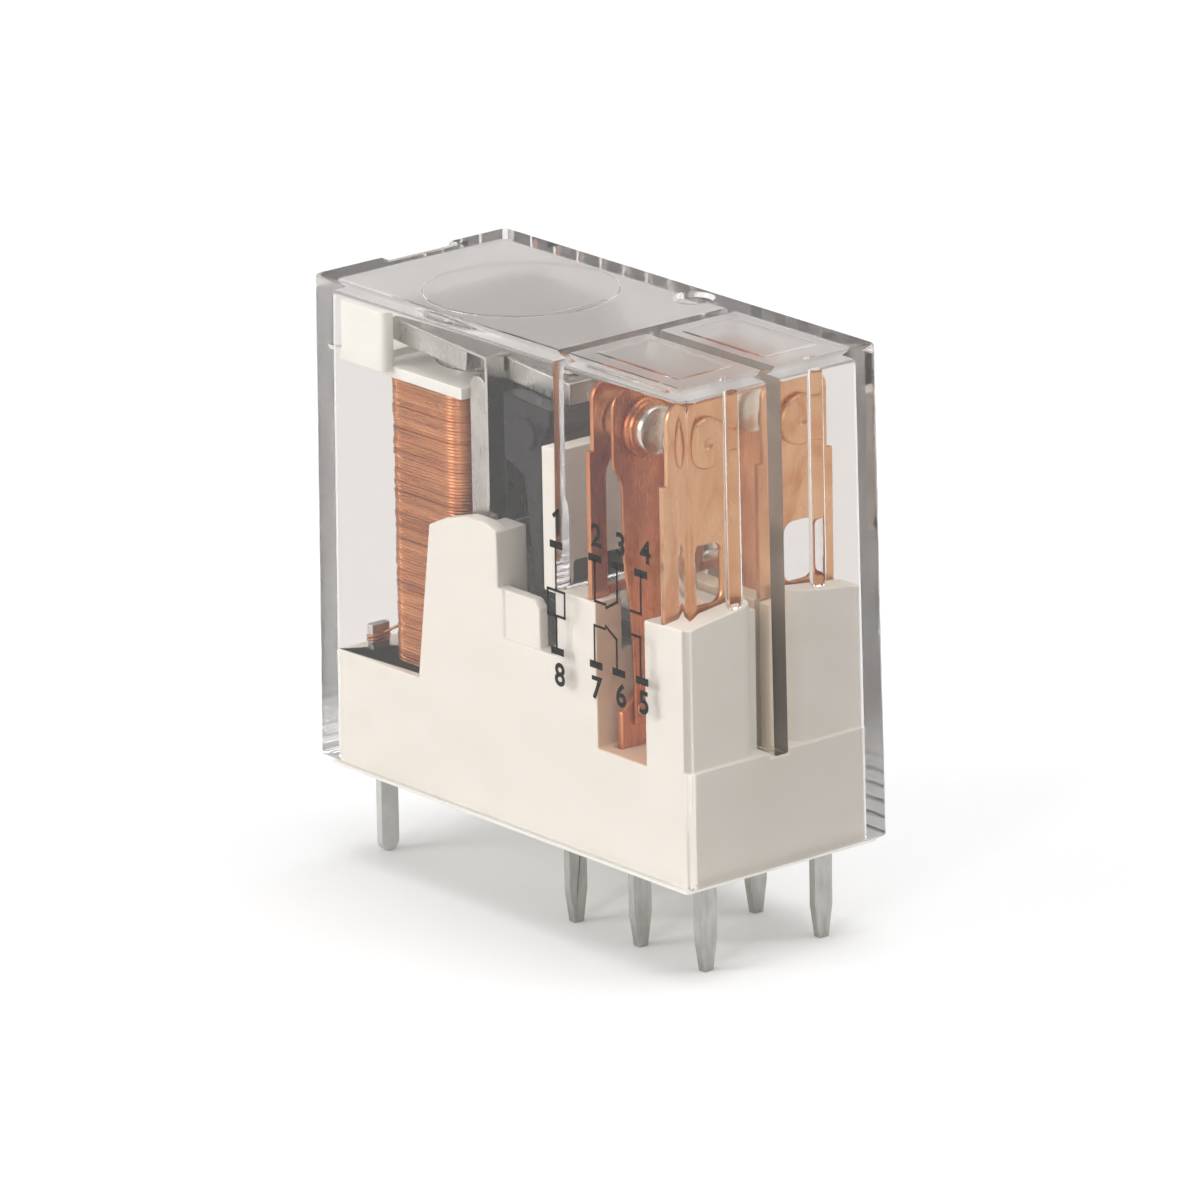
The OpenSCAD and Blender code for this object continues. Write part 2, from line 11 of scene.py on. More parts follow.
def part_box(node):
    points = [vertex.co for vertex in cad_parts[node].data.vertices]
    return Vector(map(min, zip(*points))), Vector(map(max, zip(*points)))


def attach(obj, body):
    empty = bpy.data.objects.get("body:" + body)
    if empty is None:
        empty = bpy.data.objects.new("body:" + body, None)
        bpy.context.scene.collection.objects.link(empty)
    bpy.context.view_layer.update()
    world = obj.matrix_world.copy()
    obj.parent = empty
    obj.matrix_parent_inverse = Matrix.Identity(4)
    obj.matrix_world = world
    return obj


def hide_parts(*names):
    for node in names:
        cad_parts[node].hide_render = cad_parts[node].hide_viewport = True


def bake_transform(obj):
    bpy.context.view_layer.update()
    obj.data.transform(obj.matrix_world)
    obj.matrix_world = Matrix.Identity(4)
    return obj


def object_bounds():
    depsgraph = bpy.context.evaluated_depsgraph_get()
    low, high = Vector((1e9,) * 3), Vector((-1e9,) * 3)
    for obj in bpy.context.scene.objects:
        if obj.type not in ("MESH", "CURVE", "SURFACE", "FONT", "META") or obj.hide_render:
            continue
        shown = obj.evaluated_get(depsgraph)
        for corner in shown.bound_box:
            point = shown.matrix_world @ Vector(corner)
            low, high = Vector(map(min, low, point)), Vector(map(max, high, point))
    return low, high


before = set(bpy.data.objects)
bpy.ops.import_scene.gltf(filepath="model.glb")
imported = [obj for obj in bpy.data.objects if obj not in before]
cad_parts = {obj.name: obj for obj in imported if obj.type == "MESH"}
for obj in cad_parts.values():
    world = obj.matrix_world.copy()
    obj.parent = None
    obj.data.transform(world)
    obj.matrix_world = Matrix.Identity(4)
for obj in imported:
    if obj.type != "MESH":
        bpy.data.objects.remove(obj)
cad_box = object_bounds()

MM = 0.001


# ---------- materials ----------

class Tree:
    """A material's nodes, with short ways to add the common ones."""

    def __init__(self, name):
        self.mat = bpy.data.materials.new(name)
        self.mat.use_nodes = True
        self.nodes = self.mat.node_tree.nodes
        self.shader = self.nodes["Principled BSDF"]
        self.output = self.nodes["Material Output"]
        self.coords = self.add("ShaderNodeTexCoord").outputs["Object"]

    def add(self, kind, **values):
        node = self.nodes.new(kind)
        for key, value in values.items():
            setattr(node, key, value)
        return node

    def link(self, a, b):
        self.mat.node_tree.links.new(a, b)

    def stretched(self, scale):
        """Object coordinates in millimetres, stretched by scale along each axis."""
        node = self.add("ShaderNodeMapping")
        node.inputs["Scale"].default_value = [s / MM for s in scale]
        self.link(self.coords, node.inputs["Vector"])
        return node.outputs["Vector"]

    def noise(self, scale, detail=3, roughness=0.55, distortion=0.0):
        """Noise whose features are about 1 / scale millimetres across."""
        node = self.add("ShaderNodeTexNoise")
        node.inputs["Scale"].default_value = 1
        node.inputs["Detail"].default_value = detail
        node.inputs["Roughness"].default_value = roughness
        node.inputs["Distortion"].default_value = distortion
        scale = scale if isinstance(scale, tuple) else (scale, scale, scale)
        self.link(self.stretched(scale), node.inputs["Vector"])
        return node.outputs["Fac"]

    def ramp(self, factor, *stops):
        """A colour ramp of (position, value or colour) stops."""
        node = self.add("ShaderNodeValToRGB")
        points = node.color_ramp.elements
        while len(points) < len(stops):
            points.new(0.5)
        for point, (place, value) in zip(points, stops):
            point.position = place
            grey = not isinstance(value, tuple)
            point.color = (value, value, value, 1) if grey else (*value, 1)
        self.link(factor, node.inputs["Fac"])
        return node.outputs["Color"]

    def mix(self, factor, a, b):
        """Two colour sockets or colours mixed by a factor socket."""
        node = self.add("ShaderNodeMix", data_type="RGBA")
        for key, value in (("Factor", factor), ("A", a), ("B", b)):
            kind = "VALUE" if key == "Factor" else "RGBA"
            socket = next(s for s in node.inputs if s.name == key and s.type == kind)
            if isinstance(value, bpy.types.NodeSocket):
                self.link(value, socket)
            else:
                socket.default_value = (*value, 1) if isinstance(value, tuple) else value
        return next(s for s in node.outputs if s.type == "RGBA")

    def bump(self, height, distance):
        """Bump from a height socket; distance is its depth in millimetres."""
        node = self.add("ShaderNodeBump")
        node.inputs["Distance"].default_value = distance * MM
        node.inputs["Strength"].default_value = 1
        self.link(height, node.inputs["Height"])
        self.link(node.outputs["Normal"], self.shader.inputs["Normal"])

    def math(self, operation, *values):
        node = self.add("ShaderNodeMath", operation=operation)
        for socket, value in zip(node.inputs, values):
            if isinstance(value, bpy.types.NodeSocket):
                self.link(value, socket)
            else:
                socket.default_value = value
        return node.outputs[0]

    def near_walls(self, x, y, low_z):
        """1 inside an upright shaft on each side: x and y are (middle, half size) in mm."""
        split = self.add("ShaderNodeSeparateXYZ")
        self.link(self.coords, split.inputs["Vector"])
        side = self.math("ABSOLUTE", split.outputs["Y"])
        along = self.math("COMPARE", split.outputs["X"], x[0] * MM, x[1] * MM)
        across = self.math("COMPARE", side, y[0] * MM, y[1] * MM)
        above = self.math("GREATER_THAN", split.outputs["Z"], low_z * MM)
        return self.math("MULTIPLY", self.math("MULTIPLY", along, across), above)

    def set(self, **values):
        for key, value in values.items():
            socket = self.shader.inputs[key.replace("_", " ")]
            if isinstance(value, bpy.types.NodeSocket):
                self.link(value, socket)
            else:
                socket.default_value = (*value, 1) if isinstance(value, tuple) else value


def moulded(name, light, dark, rough=0.42, grain=0.006, painted_reflection_shafts=None):
    """Moulded plastic: fine grain, faint flow marks, slightly uneven gloss.

    Each contact shaft's walls carry a painted tan reflection of the copper spring that stands in
    it."""
    t = Tree(name)
    clouds = t.noise((0.16, 0.16, 0.3), detail=4, distortion=0.4)
    colour = t.ramp(clouds, (0.35, dark), (0.65, light))
    if painted_reflection_shafts:
        # painted reflection: tan on each contact shaft's walls, where the copper springs would
        # reflect onto them
        colour = t.mix(t.near_walls(*painted_reflection_shafts), colour, (0.72, 0.53, 0.39))
    t.set(
        Base_Color=colour,
        Roughness=t.ramp(t.noise(2.2, detail=5), (0.3, rough - 0.07), (0.7, rough + 0.08)),
        Subsurface_Weight=0.06,
        Subsurface_Scale=0.4 * MM,
        IOR=1.5,
    )
    t.shader.inputs["Subsurface Radius"].default_value = (1, 0.85, 0.6)
    t.bump(t.noise(9, detail=3), grain)
    return t.mat


def metal(name, light, dark, rough, streak=(1.2, 1.2, 1.2), grain=0.002, patina=None):
    """Bare or plated metal: cloudy colour, rolled or brushed streaks, small pits."""
    t = Tree(name)
    clouds = t.noise((0.35, 0.35, 0.28), detail=5, distortion=0.6)
    colour = t.ramp(clouds, (0.32, dark), (0.62, light))
    if patina:
        spots = t.ramp(t.noise(0.8, detail=6, roughness=0.7), (0.52, 0.0), (0.74, 0.75))
        colour = t.mix(spots, colour, patina)
    lines = t.noise(streak, detail=4, roughness=0.6)
    t.set(
        Base_Color=colour,
        Metallic=1.0,
        Roughness=t.ramp(lines, (0.3, rough - 0.08), (0.72, rough + 0.1)),
    )
    t.bump(lines, grain)
    return t.mat


def plated_below(name, top, bottom, level=(1.2, 2.4), rough=0.3):
    """A copper terminal whose pin is tinned: the metal changes with height."""
    t = Tree(name)
    split = t.add("ShaderNodeSeparateXYZ")
    t.link(t.coords, split.inputs["Vector"])
    place = t.add("ShaderNodeMapRange", interpolation_type="SMOOTHSTEP")
    t.link(split.outputs["Z"], place.inputs["Value"])
    place.inputs["From Min"].default_value = level[0] * MM
    place.inputs["From Max"].default_value = level[1] * MM
    above = place.outputs["Result"]
    clouds = t.noise((0.5, 0.42, 0.2), detail=6, distortion=1.2)
    copper = t.ramp(clouds, (0.3, top[1]), (0.48, top[0]), (0.75, top[2]))
    tin = t.ramp(t.noise((2.5, 2.5, 0.7), detail=5), (0.3, bottom[1]), (0.7, bottom[0]))
    lines = t.noise((7, 7, 0.5), detail=4, roughness=0.6)
    dull = t.ramp(lines, (0.3, rough - 0.06), (0.72, rough + 0.09))
    satin = t.ramp(t.noise(3.5, detail=4), (0.3, 0.32), (0.7, 0.48))
    t.set(
        Base_Color=t.mix(above, tin, copper),
        Metallic=1.0,
        Roughness=t.mix(above, satin, dull),
    )
    t.bump(lines, 0.003)
    return t.mat


def enamelled(name):
    """Enamelled copper wire: warm metal under a thin clear varnish."""
    t = Tree(name)
    tint = t.ramp(
        t.noise((0.12, 0.12, 2.2), detail=5),
        (0.3, (0.36, 0.12, 0.045)), (0.52, (0.58, 0.23, 0.09)), (0.75, (0.72, 0.33, 0.15)),
    )
    t.set(
        Base_Color=tint,
        Metallic=0.92,
        Roughness=t.ramp(t.noise((0.5, 0.5, 6), detail=4), (0.3, 0.24), (0.7, 0.4)),
        Coat_Weight=0.3,
        Coat_Roughness=0.15,
    )
    t.bump(t.noise((0.3, 0.3, 7), detail=3), 0.012)
    return t.mat


def clear(name, tint, haze=0.0, rough=0.02, ripple=0.006):
    """Clear polycarbonate with a faint grey tint, which lets lamps through to what it holds.

    The moulded faces are a little optically soft, so the index is below the book value."""
    t = Tree(name)
    t.set(
        Base_Color=tint,
        Transmission_Weight=1.0 - haze,
        Roughness=rough,
        IOR=1.27,
    )
    t.bump(t.noise(0.22, detail=2), ripple)
    path = t.add("ShaderNodeLightPath")
    open_ = t.add("ShaderNodeBsdfTransparent")
    open_.inputs["Color"].default_value = (0.93, 0.92, 0.91, 1)
    either = t.add("ShaderNodeMixShader")
    t.link(path.outputs["Is Shadow Ray"], either.inputs[0])
    t.link(t.shader.outputs[0], either.inputs[1])
    t.link(open_.outputs[0], either.inputs[2])
    t.link(either.outputs[0], t.output.inputs["Surface"])
    return t.mat


def glossy_black(name):
    t = Tree(name)
    t.set(
        Base_Color=t.ramp(t.noise(1.1, detail=3), (0.3, (0.012, 0.012, 0.013)),
                          (0.7, (0.024, 0.024, 0.027))),
        Roughness=t.ramp(t.noise(2.5, detail=4), (0.3, 0.16), (0.7, 0.3)),
        IOR=1.45,
        Specular_IOR_Level=0.3,
    )
    t.bump(t.noise(4, detail=2), 0.004)
    return t.mat


def printed(name):
    """Pad-printed ink, slightly patchy."""
    t = Tree(name)
    t.set(
        Base_Color=t.ramp(t.noise(5, detail=4), (0.35, (0.01, 0.01, 0.009)),
                          (0.7, (0.03, 0.029, 0.027))),
        Roughness=t.ramp(t.noise(6), (0.3, 0.6), (0.7, 0.8)),
    )
    t.bump(t.noise(12), 0.003)
    return t.mat


def paper(name):
    t = Tree(name)
    t.set(
        Base_Color=t.ramp(t.noise(0.004, detail=3), (0.3, (0.93, 0.93, 0.93)),
                          (0.7, (0.955, 0.955, 0.955))),
        Roughness=t.ramp(t.noise(0.02), (0.3, 0.7), (0.7, 0.8)),
    )
    return t.mat


# the cream base, with painted copper reflection on the walls of its contact shafts
CREAM = moulded("cream_plastic", (0.8, 0.775, 0.72), (0.765, 0.74, 0.68),
                painted_reflection_shafts=((8.75, 1.88), (3.65, 1.92), 5.75))
WHITE = moulded("white_plastic", (0.82, 0.82, 0.78), (0.78, 0.78, 0.735), rough=0.35)
CLEAR = clear("clear_polycarbonate", (0.86, 0.84, 0.825), haze=0.018)
# The ceiling's underside and the gate mark are frosted; their darker grey tint is painted shade on
# the top of the cover.
FROSTED_SHADED = clear("frosted_ceiling_painted_shade", (0.565, 0.54, 0.525), haze=0.34, rough=0.3, ripple=0.02)
# The middle barrier's sides get a warmer, hazier glass: painted warm light on them.
BARRIER_PAINTED_LIGHT = clear("barrier_sides_painted_light", (0.96, 0.88, 0.77), haze=0.09, rough=0.08)
BLACK = glossy_black("black_plastic")
IRON = metal("plated_iron", (0.66, 0.65, 0.62), (0.5, 0.49, 0.46), 0.3, streak=(3, 3, 0.6))
SPRING = metal("spring_steel", (0.74, 0.73, 0.7), (0.6, 0.59, 0.56), 0.2, streak=(8, 1, 1))
SILVER = metal("silver_alloy", (0.88, 0.87, 0.84), (0.72, 0.7, 0.66), 0.2, streak=(2, 2, 2))
COPPER = metal("rolled_copper", (0.74, 0.31, 0.13), (0.53, 0.17, 0.065), 0.28,
               streak=(7, 7, 0.5), grain=0.003, patina=(0.3, 0.1, 0.05))
TINNED = metal("tinned_metal", (0.66, 0.65, 0.63), (0.5, 0.49, 0.47), 0.38, streak=(3, 3, 1))
ENAMEL = enamelled("enamelled_wire")
INK = printed("print_ink")
TIN = ((0.53, 0.515, 0.49), (0.4, 0.385, 0.365))
# Lit and shaded copies of one tinned copper: the lighter, yellower one paints the light the
# open-side plates catch, the darker, redder one paints the shade and copper-on-copper reflection
# on the closed-side plates and the common terminals.
PAINTED_LIT_COPPER = plated_below("tinned_copper_painted_light", ((0.77, 0.43, 0.23), (0.63, 0.27, 0.12),
                                                 (0.84, 0.52, 0.31)), TIN)
PAINTED_SHADE_COPPER = plated_below("tinned_copper_painted_shade", ((0.74, 0.29, 0.12), (0.5, 0.16, 0.065),
                                                (0.8, 0.39, 0.19)), TIN)


# ---------- mesh helpers: shapes are drawn in millimetres ----------

def finished(name, bm, material, body="housing", nodes=(), sharp=32, scale=MM):
    """Makes a piece from a bmesh, shades it, and ties it to its CAD body."""
    bmesh.ops.recalc_face_normals(bm, faces=bm.faces)
    if scale != 1:
        bmesh.ops.scale(bm, vec=(scale,) * 3, verts=bm.verts)
    mesh = bpy.data.meshes.new(name)
    bm.to_mesh(mesh)
    bm.free()
    mesh.polygons.foreach_set("use_smooth", [True] * len(mesh.polygons))
    mesh.set_sharp_from_angle(angle=math.radians(sharp))
    mesh.materials.append(material)
    piece = bpy.data.objects.new(name, mesh)
    bpy.context.scene.collection.objects.link(piece)
    weighted = piece.modifiers.new("flat_faces", "WEIGHTED_NORMAL")
    weighted.keep_sharp = True
    if nodes:
        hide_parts(*nodes)
    if body:
        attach(piece, body)
    return piece


def cad_shape(node):
    """The node's solid as one clean mesh, in metres."""
    bm = bmesh.new()
    bm.from_mesh(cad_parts[node].data)
    bmesh.ops.remove_doubles(bm, verts=bm.verts, dist=1e-6)
    bmesh.ops.dissolve_limit(bm, angle_limit=math.radians(0.5), verts=bm.verts, edges=bm.edges)
    return bm


def bevel(bm, width, segments=2):
    """Breaks every edge sharper than 38 degrees."""
    edges = [
        e for e in bm.edges
        if len(e.link_faces) == 2 and e.calc_face_angle(0) > math.radians(38)
    ]
    bmesh.ops.bevel(bm, geom=edges, offset=width, segments=segments, profile=0.5,
                    affect="EDGES", clamp_overlap=False)


def refined(node, material, body="housing", width=0.06, segments=2):
    """A CAD node's own shape with its edges broken."""
    bm = cad_shape(node)
    bevel(bm, width * MM, segments=segments)
    return finished(node + "_part", bm, material, body, (node,), scale=1)


def lathe(profile, centre, axis="X", steps=64):
    """A solid of revolution. The profile is (place along the axis, radius) points."""
    bm = bmesh.new()
    rings = []
    for along, radius in profile:
        ring = []
        count = steps if radius > 0 else 1
        for i in range(count):
            a = 2 * math.pi * i / steps
            c, s = radius * math.cos(a), radius * math.sin(a)
            spot = {"X": (along, c, s), "Z": (c, s, along)}[axis]
            ring.append(bm.verts.new(Vector(spot) + Vector(centre)))
        rings.append(ring)
    for a, b in zip(rings, rings[1:]):
        for i in range(steps):
            j = (i + 1) % steps
            corners = [a[i % len(a)], a[j % len(a)], b[j % len(b)], b[i % len(b)]]
            unique = list(dict.fromkeys(corners))
            if len(unique) > 2:
                bm.faces.new(unique)
    for ring in (rings[0], rings[-1]):
        if len(ring) > 2:
            bm.faces.new(ring)
    return bm


def boxed(low, high, r=0.0, segments=3):
    """A box between two corners, with all its edges rounded."""
    bm = bmesh.new()
    bmesh.ops.create_cube(bm, size=1)
    low, high = Vector(low), Vector(high)
    size, middle = high - low, (high + low) / 2
    for v in bm.verts:
        v.co = Vector(c * s for c, s in zip(v.co, size)) + middle
    if r:
        bmesh.ops.bevel(bm, geom=bm.edges[:], offset=r, segments=segments, profile=0.5,
                        affect="EDGES")
    return bm


def drafted(l0, w0, l1, w1, z0, z1, side_r, top_r):
    """A block whose sides lean in as it rises, with round upright and top edges."""
    bm = boxed((-1, -1, z0), (1, 1, z1))
    for v in bm.verts:
        l, w = (l0, w0) if v.co.z < (z0 + z1) / 2 else (l1, w1)
        v.co.x *= l
        v.co.y *= w
    upright = [e for e in bm.edges if abs(e.verts[0].co.z - e.verts[1].co.z) > 1]
    bmesh.ops.bevel(bm, geom=upright, offset=side_r, segments=4, profile=0.5,
                    affect="EDGES")
    top = [e for e in bm.edges if min(v.co.z for v in e.verts) > z1 - 1e-4]
    bmesh.ops.bevel(bm, geom=top, offset=top_r, segments=4, profile=0.5,
                    affect="EDGES")
    return bm


def prism(points, y0, y1, axis):
    """An outline extruded along one axis; the outline's points are in the other two."""
    bm = bmesh.new()
    ends = []
    for y in (y0, y1):
        place = {"Y": lambda p: (p[0], y, p[1]), "X": lambda p: (y, p[0], p[1])}[axis]
        ends.append([bm.verts.new(place(p)) for p in points])
    bm.faces.new(ends[0])
    bm.faces.new(reversed(ends[1]))
    for i in range(len(points)):
        j = (i + 1) % len(points)
        bm.faces.new((ends[0][i], ends[0][j], ends[1][j], ends[1][i]))
    return bm


def as_object(bm):
    mesh = bpy.data.meshes.new("tool")
    bmesh.ops.triangulate(bm, faces=bm.faces)
    bmesh.ops.recalc_face_normals(bm, faces=bm.faces)
    bm.to_mesh(mesh)
    bm.free()
    tool = bpy.data.objects.new("tool", mesh)
    bpy.context.scene.collection.objects.link(tool)
    return tool


def cut(bm, shapes):
    """Cuts each of the shapes out in turn, and gives the resulting bmesh."""
    body = as_object(bm)
    tools = []
    for shape in shapes:
        tools.append(as_object(shape))
        change = body.modifiers.new("cut", "BOOLEAN")
        change.operation = "DIFFERENCE"
        change.solver = "EXACT"
        change.object = tools[-1]
    mesh = body.evaluated_get(bpy.context.evaluated_depsgraph_get()).to_mesh()
    result = bmesh.new()
    result.from_mesh(mesh)
    for tool in (body, *tools):
        bpy.data.objects.remove(tool)
    bmesh.ops.remove_doubles(result, verts=result.verts, dist=1e-4)
    bmesh.ops.dissolve_limit(result, angle_limit=math.radians(0.3), verts=result.verts,
                             edges=result.edges)
    return result


def tube(name, points, radius, material, nodes):
    """A round wire along points, as a mesh."""
    data = bpy.data.curves.new(name, "CURVE")
    data.dimensions = "3D"
    data.bevel_depth = radius
    data.bevel_resolution = 4
    data.resolution_u = 6
    data.use_fill_caps = True
    line = data.splines.new("NURBS")
    line.points.add(len(points) - 1)
    line.order_u = 3
    line.use_endpoint_u = True
    for spot, point in zip(line.points, points):
        spot.co = (*point, 1)
    holder = bpy.data.objects.new("wire", data)
    bpy.context.scene.collection.objects.link(holder)
    bm = bmesh.new()
    bm.from_mesh(holder.evaluated_get(bpy.context.evaluated_depsgraph_get()).to_mesh())
    bpy.data.objects.remove(holder)
    return finished(name, bm, material, nodes=nodes)


# ---------- sizes, in millimetres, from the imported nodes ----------

def limits(node):
    low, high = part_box(node)
    return low / MM, high / MM


cover_low, cover_high = limits("cover")
half_l, half_w = cover_high.x, cover_high.y
cover_z0, cover_top = cover_low.z, cover_high.z
DRAFT_L, DRAFT_W = 0.3, 0.14
WALL, TOP_WALL = 0.75, 0.8
TOWER_Z, GROOVE_Z = 13.3, 5.8
PIVOT = Vector((-3.55, 0, 21.75))
STROKE = 4.5               # degrees from open to closed
CONTACT_Y, CONTACT_Z = 3.0, 22.1
RIVETS_Y = (-1.6, 1.6)
GAP = 0.02                 # between pieces that are pressed together
ceiling = cover_top - TOP_WALL


def near_face(z):
    """Place across the width of the cover's outer face at height z."""
    return half_w - DRAFT_W * (z - cover_z0) / (cover_top - cover_z0)


# ---------- cover ----------

def clear_cover():
    cross_x, barrier, rib_r, panel = 3.95, 0.45, 0.45, 0.2
    inner = drafted(half_l - WALL, half_w - WALL, half_l - DRAFT_L - WALL,
                    half_w - DRAFT_W - WALL, cover_z0 - 1, ceiling, 0.4, 0.25)
    up = cover_top + 1
    walls = [
        boxed((cross_x, -half_w, TOWER_Z + 0.15), (cross_x + 0.8, half_w, up), 0.15),
        boxed((cross_x + 0.01, -barrier, TOWER_Z + 0.16), (half_l, barrier, up), 0.12),
        boxed((cross_x + 1.2, 0.01 - barrier, GROOVE_Z + 0.1), (half_l, barrier - 0.01, up),
              0.12),
    ]
    for side in (-1, 1):
        rib_x = half_l - DRAFT_L - WALL + 0.05
        walls.append(lathe([(TOWER_Z + 0.6, 0), (TOWER_Z + 0.65, 0.3), (TOWER_Z + 0.8, 0.42),
                            (TOWER_Z + 1.05, rib_r), (up, rib_r), (up, 0)],
                           (rib_x, side * 2.7, 0), "Z", 32))
        rod_y = side * (half_w - WALL - 0.1)
        walls.append(lathe([(13.6, 0), (13.68, 0.25), (13.85, 0.42), (14.1, rib_r),
                            (17.7, rib_r), (17.95, 0.42), (18.12, 0.25), (18.2, 0)],
                           (cross_x + 0.6, rod_y, 0), "Z", 32))
    cuts = [
        cut(inner, walls),
        # thumb notch, vent recess and gate mark in the top
        boxed((-half_l - 1, -2, cover_top - 0.4), (1.1 - half_l, 2.5, cover_top + 1), 0.15),
        lathe([(cover_top - 0.3, 0), (cover_top - 0.3, 0.9), (cover_top - 0.25, 1.0),
               (cover_top - 0.05, 1.05), (cover_top + 0.1, 1.15), (cover_top + 0.1, 0)],
              (2.2, 4.75, 0), "Z", 48),
        boxed((-0.62, -1.9, cover_top - 0.14), (-0.42, 1.4, cover_top + 1)),
        # thinner panels of the ceiling
        lathe([(ceiling - 0.5, 0), (ceiling - 0.5, 5), (ceiling + 0.12, 4.98),
               (ceiling + panel, 4.9), (ceiling + panel, 0)], (-5.5, 0, 0), "Z", 96),
    ]
    r = 0.5
    arc = [math.pi / 2 * i / 8 for i in range(9)]
    for side in (-1, 1):
        y = sorted((side * 1.0, side * 4.5))
        cuts.append(boxed((5.6, y[0], ceiling - 0.5), (12, y[1], ceiling + panel), 0.2))
        # lower corners of every wall are round
        for reach, axis, span in ((half_l, "Y", half_w + 1), (half_w, "X", half_l + 1)):
            corner = [(side * (reach + 0.5), cover_z0 - 0.5), (side * (reach - r), cover_z0 - 0.5)]
            corner += [(side * (reach - r + r * math.sin(a)), cover_z0 + r - r * math.cos(a))
                       for a in arc]
            corner.append((side * (reach + 0.5), cover_z0 + r))
            cuts.append(prism(corner, -span, span, axis))
    outer = drafted(half_l, half_w, half_l - DRAFT_L, half_w - DRAFT_W, cover_z0, cover_top,
                    0.25, 0.2)
    shape = cut(outer, cuts)
    piece = finished("cover_clear", shape, CLEAR, nodes=("cover",), sharp=34)
    for look in (FROSTED_SHADED, BARRIER_PAINTED_LIGHT):
        piece.data.materials.append(look)
    for face in piece.data.polygons:
        x, y, z = face.center / MM
        inside = z > ceiling - 0.3 and face.normal.z < -0.9
        gate = -0.7 < x < -0.35 and abs(y) < 2 and cover_top - 0.2 < z < cover_top - 0.01
        # faces of the middle barrier's sides take the glass with painted warm light
        middle = abs(y) < barrier + 0.05 and abs(face.normal.y) > 0.9
        face.material_index = 1 if inside or gate else 2 if middle else 0


clear_cover()


# ---------- base and coil ----------

refined("base", CREAM, width=0.09, segments=2)
refined("bobbin", WHITE, width=0.04)
refined("yoke", IRON, width=0.1)
refined("iron_core", IRON, width=0.1)


def winding():
    """The coil's turns: one fine helical surface with slightly uneven wire."""
    low, high = limits("coil_winding")
    half_x, half_y = (high.x - low.x) / 2, (high.y - low.y) / 2
    mid_x = (high.x + low.x) / 2
    corner, pitch, per_turn, around = 1.1, 0.165, 6, 120
    turns = int((high.z - low.z) / pitch)
    groove, climb = 0.055, 0.9
    rng = random.Random(5)
    proud = [max(0.0, rng.gauss(0.02, 0.02)) for _ in range(turns + 2)]
    straight_x, straight_y = half_x - corner, half_y - corner
    quarter = corner * math.pi / 2
    lengths = [2 * straight_x, quarter, 2 * straight_y, quarter] * 2
    total = sum(lengths)

    def outline(s):
        """Place on the section at arc length s, and the outward direction there."""
        s %= total
        x, y = -straight_x, -half_y
        heading = 0.0
        for i, length in enumerate(lengths):
            if i % 2 == 0:
                if s <= length:
                    d = Vector((math.cos(heading), math.sin(heading), 0))
                    out = Vector((math.sin(heading), -math.cos(heading), 0))
                    return Vector((x, y, 0)) + d * s, out
                x += math.cos(heading) * length
                y += math.sin(heading) * length
            else:
                turn = min(s, length) / corner
                out0 = Vector((math.sin(heading), -math.cos(heading), 0))
                centre = Vector((x, y, 0)) - out0 * corner
                out = Matrix.Rotation(turn, 3, "Z") @ out0
                if s <= length:
                    return centre + out * corner, out
                end = centre + out * corner
                x, y = end.x, end.y
                heading += math.pi / 2
            s -= length
        return Vector((x, y, 0)), Vector((0, -1, 0))

    ring = [outline(total * i / around) for i in range(around)]
    bm = bmesh.new()
    rows = []
    for row in range(turns * per_turn + 1):
        k, phase = divmod(row, per_turn)
        depth = groove * (1 - math.sin(math.pi * (phase + 0.5) / per_turn)) ** 1.2
        verts = []
        for i, (p, out) in enumerate(ring):
            share = i / around
            turn = proud[k] * (1 - share) + proud[min(k + 1, turns)] * share
            z = low.z + 0.01 + (row / per_turn + (share - 0.5) * climb) * pitch
            z = min(max(z, low.z), high.z)
            wave = 0.03 * (1 + noise.noise(Vector((share * 2.5, row / per_turn * 0.5, 8))))
            spot = p - out * (depth + turn + wave)
            verts.append(bm.verts.new((spot.x + mid_x, spot.y, z)))
        rows.append(verts)
    for a, b in zip(rows, rows[1:]):
        for i in range(around):
            j = (i + 1) % around
            bm.faces.new((a[i], a[j], b[j], b[i]))
    bm.faces.new(rows[0])
    bm.faces.new(rows[-1])
    return finished("coil_turns", bm, ENAMEL, nodes=("coil_winding",),
                    sharp=75)


winding()


def coil_pins():
    for number, side in ((1, -1), (8, 1)):
        refined(f"coil_terminal_{number}", TINNED, width=0.07, segments=3)
        low, high = limits(f"coil_lead_{number}")
        pin_low, pin_high = limits(f"coil_terminal_{number}")
        x0, x1 = pin_low.x, pin_high.x
        y0, y1 = pin_low.y, pin_high.y
        r = 0.07
        # two and a half turns round the pin, then up to the winding
        loop = [(x1 + r, y0 - r), (x1 + r, y1 + r), (x0 - r, y1 + r), (x0 - r, y0 - r)]
        path = []
        for i in range(11):
            x, y = loop[i % 4]
            path.append((x, y, 6.45 + 0.045 * i))
        end_y = low.y + 0.1 if side > 0 else high.y - 0.1
        path += [(x1 + 0.3, side * 3.9, 6.95), (high.x - 0.5, end_y, high.z - 0.1),
                 (high.x, end_y, high.z)]
        tube(f"coil_wire_{number}", path, r, ENAMEL,
             nodes=(f"coil_lead_{number}",))


coil_pins()


# ---------- magnet's moving parts ----------

refined("armature", IRON, "rocker", width=0.1, segments=3)
refined("actuator", BLACK, "rocker", width=0.12, segments=3)


def hinge_leaf():
    """The leaf spring between the yoke it is held on and the armature it lies on, sliced into thin
    bands from 19.4 to 22.4 mm up.
    """
    bm = cad_shape("hinge_spring")
    bevel(bm, 0.035 * MM, segments=1)
    start, end = 19.4, 22.4
    steps = 12
    for i in range(steps + 1):
        z = (start + (end - start) * i / steps) * MM
        bmesh.ops.bisect_plane(bm, geom=bm.verts[:] + bm.edges[:] + bm.faces[:],
                               plane_co=(0, 0, z), plane_no=(0, 0, 1), dist=1e-7)
    piece = finished("hinge_leaf", bm, SPRING, None, ("hinge_spring",), scale=1)
    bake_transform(piece)


hinge_leaf()


